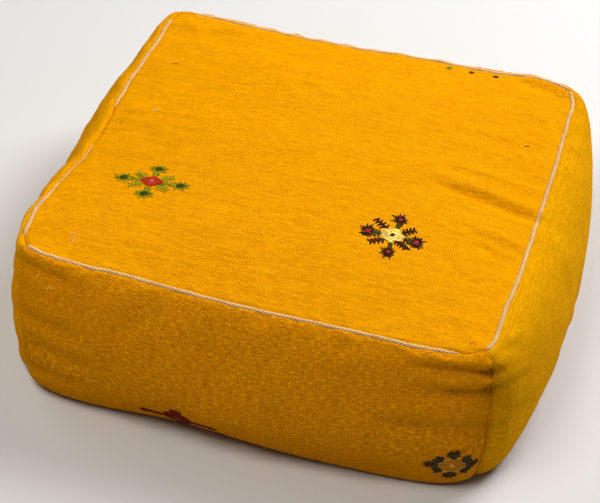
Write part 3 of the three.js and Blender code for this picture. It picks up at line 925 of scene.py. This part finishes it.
def filling(surface):
    """The liner, the wadding and the foam, each with the CAD node it stands for."""
    _, _, lining, normals = surface["top"]
    def under_top(depth):
        return (lining - normals * depth)[::2, ::2] * [0.99, 0.99, 1]
    shares = graded(40)
    x, y = crossed(shares, shares)
    def over_base(depth, rise, half):
        px, py = in_plan(half, SHARPNESS["base"], x, y)
        py += tucked(px, py, 0)
        return np.stack([px, py, depth + rise * groove_share(px, py, 10 * MM, 40 * MM)], -1)
    low = BASE_HALF - 6 * MM
    liner_low = over_base(3.5 * MM, 5.2 * MM, low)
    wadding_low = over_base(5 * MM, 5.4 * MM, low - 4 * MM)
    lift = np.array([0, 0, CALICO])
    foot, head = slab_level(80, True), slab_level(40, False)
    foot[..., 2] = SLAB["top"] + 0.6 * MM
    head[..., 2] = SLAB["bottom"] - 0.6 * MM
    outer_ring = side_ring(surface, WADDING_DEPTH)
    inner_ring = outer_ring * np.array([0, 0, 1]) + outer_ring[:, :1] * np.array([1, 1, 0]) * 0.955
    wadding_face = under_top(WADDING_DEPTH + 1 * MM)
    return {
        "liner_top": sheet("calico_top", under_top(0), under_top(CALICO)),
        "liner_bottom": sheet("calico_bottom", liner_low + lift, liner_low),
        "liner_band": ring_sheet(
            "calico_band", side_ring(surface, 0), side_ring(surface, CALICO)
        ),
        "wadding_top": sheet("fibre_top", wadding_face, fluffed(foot, 21, 0.3 * MM)),
        "wadding_bottom": sheet("fibre_bottom", head, wadding_low + lift),
        "wadding_band": ring_sheet("fibre_band", outer_ring, inner_ring),
        "foam_slab": sheet("foam", slab_level(40, True), slab_level(40, False)),
    }


# ---------------------------------------------------------------- materials

class Finish:
    """A procedural material, written as a chain of nodes."""

    def __init__(self, name, **constants):
        self.material = bpy.data.materials.new(name)
        self.material.use_nodes = True
        self.tree = self.material.node_tree
        self.shader = self.tree.nodes["Principled BSDF"]
        for key, value in constants.items():
            self.shader.inputs[key.replace("_", " ")].default_value = value

    def node(self, kind, inputs, **settings):
        made = self.tree.nodes.new("ShaderNode" + kind)
        for key, value in settings.items():
            setattr(made, key, value)
        for key, value in inputs.items():
            if isinstance(value, bpy.types.NodeSocket):
                self.tree.links.new(value, made.inputs[key])
            else:
                made.inputs[key].default_value = value
        return made

    def attribute(self, name):
        return self.node("Attribute", {}, attribute_name=name).outputs["Vector"]

    def place(self):
        return self.node("TexCoord", {}).outputs["Object"]

    def noise(self, vector, scale, detail=3.0, roughness=0.5):
        """Noise of that scale along each axis, or along all of them."""
        scale = scale if isinstance(scale, tuple) else (scale, scale, scale)
        where = self.node("Mapping", {"Vector": vector, "Scale": scale}).outputs["Vector"]
        inputs = {"Vector": where, "Scale": 1.0, "Detail": detail, "Roughness": roughness}
        return self.node("TexNoise", inputs).outputs["Fac"]

    def math(self, operation, a, b=0.0, c=0.0):
        return self.node("Math", {0: a, 1: b, 2: c}, operation=operation).outputs[0]

    def spread(self, value, low, high, to_low=0.0, to_high=1.0):
        source = {"Value": value, "From Min": low, "From Max": high}
        target = {"To Min": to_low, "To Max": to_high}
        return self.node("MapRange", {**source, **target}).outputs["Result"]

    def mixed(self, share, a, b):
        a, b = ((*c, 1) if isinstance(c, tuple) else c for c in (a, b))
        return self.node("Mix", {0: share, 6: a, 7: b}, data_type="RGBA").outputs[2]

    def layered(self, colour, *layers):
        """A colour with others mixed in over it, each given after its share."""
        for share, tint in layers:
            colour = self.mixed(share, colour, tint)
        return colour

    def axes(self, vector):
        return self.node("SeparateXYZ", {"Vector": vector}).outputs

    def ridges(self, along, pitch):
        """Rounded ridges, 0 to 1, with one ridge in every pitch of metres."""
        turn = self.math("MULTIPLY", along, math.pi / pitch)
        return self.math("ABSOLUTE", self.math("SINE", turn))

    def done(self, colour, height, distance, strength=1.0):
        link = self.tree.links.new
        link(colour, self.shader.inputs["Base Color"])
        bump = self.node("Bump", {"Height": height, "Distance": distance, "Strength": strength})
        link(bump.outputs["Normal"], self.shader.inputs["Normal"])
        return self.material


def wool():
    f = Finish("kilim_wool", Roughness=0.95, Specular_IOR_Level=0.01)
    cloth = f.attribute("cloth")
    u, _, light_tone = f.axes(cloth)
    # a weft-faced weave: ribs over the warps, and uneven beads of weft on the ribs
    wobble = f.noise(cloth, (25, 25, 1), 2.0)
    rib = f.ridges(f.math("MULTIPLY_ADD", wobble, 3.2 * MM, u), RIB)
    bead = f.noise(cloth, (330, 820, 1), 2.0, 0.5)
    weave = f.math("MULTIPLY", f.math("POWER", rib, 0.7), f.spread(bead, 0.32, 0.68, 0.5, 1))
    slub = f.noise(cloth, (38, 420, 1), 4.0, 0.6)
    thick = f.noise(cloth, (12, 130, 1), 3.0, 0.55)
    fuzz_and_highlight = f.noise(cloth, (900, 1300, 1), 4.0, 0.7)
    band = f.noise(cloth, (1.6, 26, 1), 3.0, 0.55)
    cloud = f.noise(cloth, (7, 9, 1), 3.0, 0.5)
    # the further a panel's painted light tone is from 0.6, the more its yarn varies and the deeper
    # its painted shade between the ribs
    odd = f.math("ABSOLUTE", f.math("SUBTRACT", light_tone, 0.6))
    uneven = f.spread(odd, 0.1, 0.6, 0.32, 1.0)
    grain = f.noise(cloth, (150, 560, 1), 4.0, 0.6)
    # painted shade in the grooves between the ribs of the weave
    rib_groove_shade_share = f.spread(odd, 0.1, 0.6, 0.38, 0.9)
    rib_groove_shade = f.math("MULTIPLY", f.spread(weave, 0.10, 0.85, 1, 0), rib_groove_shade_share)
    pale = f.math("MULTIPLY", uneven, f.spread(grain, 0.50, 0.68, 0, 0.75))
    deep = f.math("MULTIPLY", uneven, f.spread(grain, 0.34, 0.50, 0.44, 0))
    fleck = f.noise(cloth, (150, 420, 1), 2.0, 0.6)
    # the base colour goes from brown orange to lemon with the panel's painted light tone: painted
    # light and shade of each side
    colour = f.layered(
        f.mixed(light_tone, (0.99, 0.302, 0.0006), (1.0, 0.495, 0.0006)),
        (f.spread(band, 0.34, 0.66, 0.30, 0), (0.64, 0.230, 0.0006)),
        (f.spread(cloud, 0.35, 0.7, 0, 0.25), (0.95, 0.400, 0.0006)),
        (f.spread(slub, 0.38, 0.66, 0.45, 0), (0.50, 0.165, 0.0006)),
        # painted shade between the ribs
        (rib_groove_shade, (0.40, 0.125, 0.0006)),
        # painted highlight: the fine fuzz drawn lighter where it stands up
        (f.spread(fuzz_and_highlight, 0.48, 0.74, 0, 0.6), (1.0, 0.56, 0.002)),
        (pale, (1.0, 0.50, 0.002)),
        (deep, (0.34, 0.10, 0.0006)),
        (f.spread(fleck, 0.73, 0.80, 0, 0.6), (0.20, 0.05, 0.002)),
    )
    height = f.math("ADD", f.math("MULTIPLY", weave, 0.55), f.math("MULTIPLY", slub, 0.9))
    height = f.math("ADD", height, f.math("MULTIPLY", fuzz_and_highlight, 0.5))
    height = f.math("ADD", height, f.math("MULTIPLY", thick, 0.7))
    return f.done(colour, height, 1.1 * MM, 1.0)


def cord_cotton():
    f = Finish("cord_cotton", Roughness=0.9, Specular_IOR_Level=0.2)
    # how far along its strand a point is, how far round it, and how far out it faces
    along, around, outward = f.axes(f.attribute("cloth"))
    ply = f.ridges(f.math("MULTIPLY_ADD", around, 2.4 * MM, along), 0.8 * MM)
    grime = f.noise(f.place(), 60, 4.0, 0.6)
    fluff = f.noise(f.place(), 1800, 3.0, 0.6)
    colour = f.mixed(f.spread(grime, 0.35, 0.7), (0.73, 0.465, 0.20), (0.87, 0.62, 0.29))
    # painted shade in the grooves between the plies
    colour = f.mixed(f.spread(ply, 0, 0.6, 0.4, 0), colour, (0.50, 0.32, 0.15))
    colour = f.mixed(f.spread(fluff, 0.5, 0.8, 0, 0.4), colour, (0.95, 0.765, 0.42))
    # painted shade on the side of each strand that faces in, towards the others
    colour = f.mixed(f.spread(outward, -0.4, 0.3, 0.65, 0), colour, (0.34, 0.19, 0.07))
    height = f.math("ADD", f.math("MULTIPLY", ply, 0.6), f.math("MULTIPLY", fluff, 0.5))
    return f.done(colour, height, 0.35 * MM, 0.8)


def motif_yarn():
    f = Finish("motif_yarn", Roughness=0.9, Specular_IOR_Level=0.05)
    yarn = f.attribute("yarn")
    fluff = f.noise(f.place(), 1500, 4.0, 0.7)
    dye = f.noise(f.place(), 260, 2.0, 0.5)
    colour = f.mixed(f.spread(dye, 0.4, 0.75, 0, 0.12), yarn, (0.45, 0.16, 0.01))
    colour = f.mixed(f.spread(fluff, 0.5, 0.85, 0, 0.12), colour, (0.85, 0.40, 0.02))
    return f.done(colour, fluff, 0.5 * MM, 0.8)


# Plain cottons: thread pitch, and the dark, middle and light colours.
COTTONS = {
    "base_canvas": (1.1 * MM, (0.36, 0.22, 0.06), (0.62, 0.42, 0.14), (0.74, 0.54, 0.22)),
    "liner_calico": (0.8 * MM, (0.50, 0.45, 0.34), (0.74, 0.69, 0.56), (0.84, 0.80, 0.69)),
    "zip_tape": (0.7 * MM, (0.30, 0.18, 0.04), (0.50, 0.32, 0.08), (0.60, 0.41, 0.13)),
}


def woven(name):
    pitch, dark, mid, light = COTTONS[name]
    f = Finish(name, Roughness=0.9, Specular_IOR_Level=0.2)
    place = f.place()
    x, y, z = f.axes(place)
    warp = f.ridges(x, pitch)
    weft = f.ridges(f.math("ADD", y, z), pitch)
    weave = f.math("MULTIPLY", warp, weft)
    thread = f.noise(place, (60, 700, 700), 3.0, 0.6)
    cross = f.noise(place, (700, 60, 60), 3.0, 0.6)
    soil = f.noise(place, 14, 5.0, 0.6)
    colour = f.mixed(f.spread(thread, 0.35, 0.65), mid, light)
    colour = f.mixed(f.spread(cross, 0.4, 0.7, 0, 0.5), colour, mid)
    # painted shade in the gaps between the threads
    colour = f.mixed(f.spread(weave, 0, 0.5, 0.6, 0), colour, dark)
    colour = f.mixed(f.spread(soil, 0.5, 0.75, 0, 0.45), colour, dark)
    height = f.math("ADD", weave, f.math("MULTIPLY", thread, 0.5))
    return f.done(colour, height, 0.3 * MM, 0.7)


def coil_nylon():
    f = Finish("coil_nylon", Roughness=0.38, Specular_IOR_Level=0.5)
    rub = f.noise(f.place(), 300, 3.0, 0.5)
    dust = f.noise(f.place(), (30, 200, 200), 3.0, 0.5)
    colour = f.mixed(f.spread(dust, 0.4, 0.7), (0.50, 0.30, 0.07), (0.36, 0.20, 0.045))
    return f.done(colour, rub, 0.05 * MM, 0.5)


def worn_brass():
    f = Finish("worn_brass", Metallic=1.0)
    place = f.place()
    tarnish = f.noise(place, 260, 5.0, 0.65)
    scratch = f.noise(place, (90, 2600, 900), 3.0, 0.6)
    colour = f.mixed(f.spread(tarnish, 0.42, 0.68), (0.62, 0.46, 0.24), (0.26, 0.18, 0.09))
    colour = f.mixed(f.spread(scratch, 0.6, 0.8, 0, 0.6), colour, (0.80, 0.66, 0.42))
    rough = f.spread(tarnish, 0.35, 0.7, 0.28, 0.58)
    f.tree.links.new(rough, f.shader.inputs["Roughness"])
    return f.done(colour, scratch, 0.04 * MM, 0.4)


def polyester_fibre():
    f = Finish("polyester_fibre", Roughness=1.0, Specular_IOR_Level=0.15)
    place = f.place()
    strands = f.noise(place, 90, 8.0, 0.75)
    wisps = f.noise(place, (900, 300, 300), 4.0, 0.7)
    colour = f.mixed(f.spread(strands, 0.35, 0.65), (0.66, 0.65, 0.60), (0.88, 0.87, 0.83))
    colour = f.mixed(f.spread(wisps, 0.5, 0.8, 0, 0.5), colour, (0.95, 0.95, 0.92))
    return f.done(colour, f.math("ADD", strands, wisps), 2 * MM, 0.9)


def foam():
    f = Finish("seat_foam", Roughness=0.95, Specular_IOR_Level=0.2)
    place = f.place()
    pores = f.node("TexVoronoi", {"Vector": place, "Scale": 900.0}).outputs["Distance"]
    age = f.noise(place, 12, 4.0, 0.55)
    colour = f.mixed(f.spread(age, 0.35, 0.7), (0.82, 0.72, 0.36), (0.70, 0.54, 0.20))
    # painted shade inside the pores
    colour = f.mixed(f.spread(pores, 0.2, 0.6, 0.5, 0), colour, (0.42, 0.32, 0.12))
    return f.done(colour, pores, 0.8 * MM, 0.8)


def floor_paper():
    f = Finish("floor_paper", Roughness=0.9, Specular_IOR_Level=0.1)
    grain = f.noise(f.place(), 300, 3.0, 0.5)
    colour = f.mixed(grain, (0.64, 0.64, 0.64), (0.67, 0.67, 0.67))
    return f.done(colour, grain, 0.05 * MM, 0.2)


# ---------------------------------------------------------------- camera and light

def camera():
    """From the front, about 15 degrees to the right and 40 up, slightly rolled."""
    azimuth, elevation, roll = (math.radians(angle) for angle in CAMERA_TURNS)
    back = Vector((
        math.sin(azimuth) * math.cos(elevation),
        -math.cos(azimuth) * math.cos(elevation),
        math.sin(elevation),
    ))
    right = Vector((0, 0, 1)).cross(back).normalized()
    across = math.cos(roll) * right + math.sin(roll) * back.cross(right)
    data = bpy.data.cameras.new("camera")
    data.lens = LENS
    made = placed("camera", data)
    turn = Matrix((across, back.cross(across), back)).transposed().to_4x4()
    made.matrix_world = Matrix.Translation(CAMERA_PLACE) @ turn
    bpy.context.scene.camera = made


def area_light(name, place, size, power, colour):
    data = bpy.data.lights.new(name, "AREA")
    data.size, data.energy, data.color = size, power, colour
    light = placed(name, data)
    light.location = place
    aim = Vector((0, 0, 0.1)) - Vector(place)
    light.rotation_euler = aim.to_track_quat("-Z", "Y").to_euler()


def studio():
    world = bpy.data.worlds.new("studio")
    bpy.context.scene.world = world
    world.use_nodes = True
    background = world.node_tree.nodes["Background"].inputs
    background["Color"].default_value = (1, 1, 1, 1)
    background["Strength"].default_value = SURROUND
    for name, light in LIGHTS.items():
        area_light(name, *light)
    half = FLOOR_HALF
    corners = [(-half, -half, 0), (half, -half, 0), (half, half, 0), (-half, half, 0)]
    floor = new_object("floor", corners, [(0, 1, 2, 3)])
    dress(floor, floor_paper())
    bpy.context.scene.view_settings.view_transform = "Standard"


# ---------------------------------------------------------------- the cushion

def dress(piece, material):
    piece.data.materials.clear()
    piece.data.materials.append(material)


def belongs(piece, material, slot, *nodes):
    dress(piece, material)
    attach(piece, "cushion")
    if nodes:
        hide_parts(*nodes)


def cushion():
    surface = shaped_cover()
    wool_cloth, cotton, yarn = wool(), cord_cotton(), motif_yarn()
    for name in ("top", *SIDES):
        belongs(cover_panel(name, surface), wool_cloth, "wool_cover", name + "_panel")
    for side in SIDES:
        belongs(piping(side, surface), cotton, "piping_cord", "piping_" + side)
    for piece in motifs(surface):
        belongs(piece, yarn, "motif_yarn")
    canvas = woven("base_canvas")
    for name, direction in (("front", -1), ("back", 1)):
        piece = base_half("canvas_" + name, direction)
        belongs(piece, canvas, "base_canvas", "base_panel_" + name)
    belongs(base_stitching(), cotton, "base_canvas")
    nylon = coil_nylon()
    for name, direction in (("front", -1), ("back", 1)):
        belongs(zip_coil("coil_" + name, direction), nylon, "zip_coil", "zip_coil_" + name)
    finishes = {"liner": woven("liner_calico"), "wadding": polyester_fibre(), "foam": foam()}
    slots = {"liner": "liner_calico", "wadding": "fibre_wadding", "foam": "foam"}
    for node, piece in filling(surface).items():
        kind = node.split("_")[0]
        belongs(piece, finishes[kind], slots[kind], node)
    tape, brass = woven("zip_tape"), worn_brass()
    for name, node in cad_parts.items():
        if name.startswith("zip_tape"):
            dress(node, tape)
        elif name.startswith("zip") and not node.hide_render:
            dress(node, brass)


camera()
studio()
cushion()
